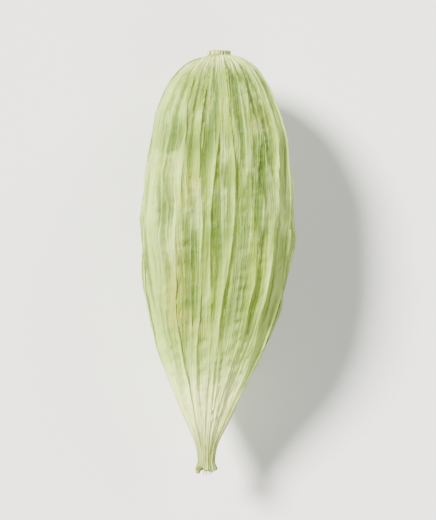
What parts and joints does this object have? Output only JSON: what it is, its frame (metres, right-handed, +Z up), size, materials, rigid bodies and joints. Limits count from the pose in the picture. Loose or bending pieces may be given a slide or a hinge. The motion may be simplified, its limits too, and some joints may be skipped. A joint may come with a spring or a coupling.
{
  "type": "cardamom pod",
  "caption": "Dried green cardamom pod: a ribbed three-cornered papery capsule with a blunt stalk end and a dry drawn-out beak, lying on its side.",
  "frame": {"origin": "on the ground, under the middle of the pod's box", "axes": "+Y along the pod towards its blunt stalk end, with the beak at -Y, +X to the right with the beak towards the viewer, +Z up"},
  "size_m": [0.0064, 0.0174, 0.0056],
  "materials": {
    "husk": "dry papery husk, matt to satin, pale green with paler ribs and ends"
  },
  "bodies": {
    "root": {"cardamom_pod": "husk"}
  },
  "joints": []
}
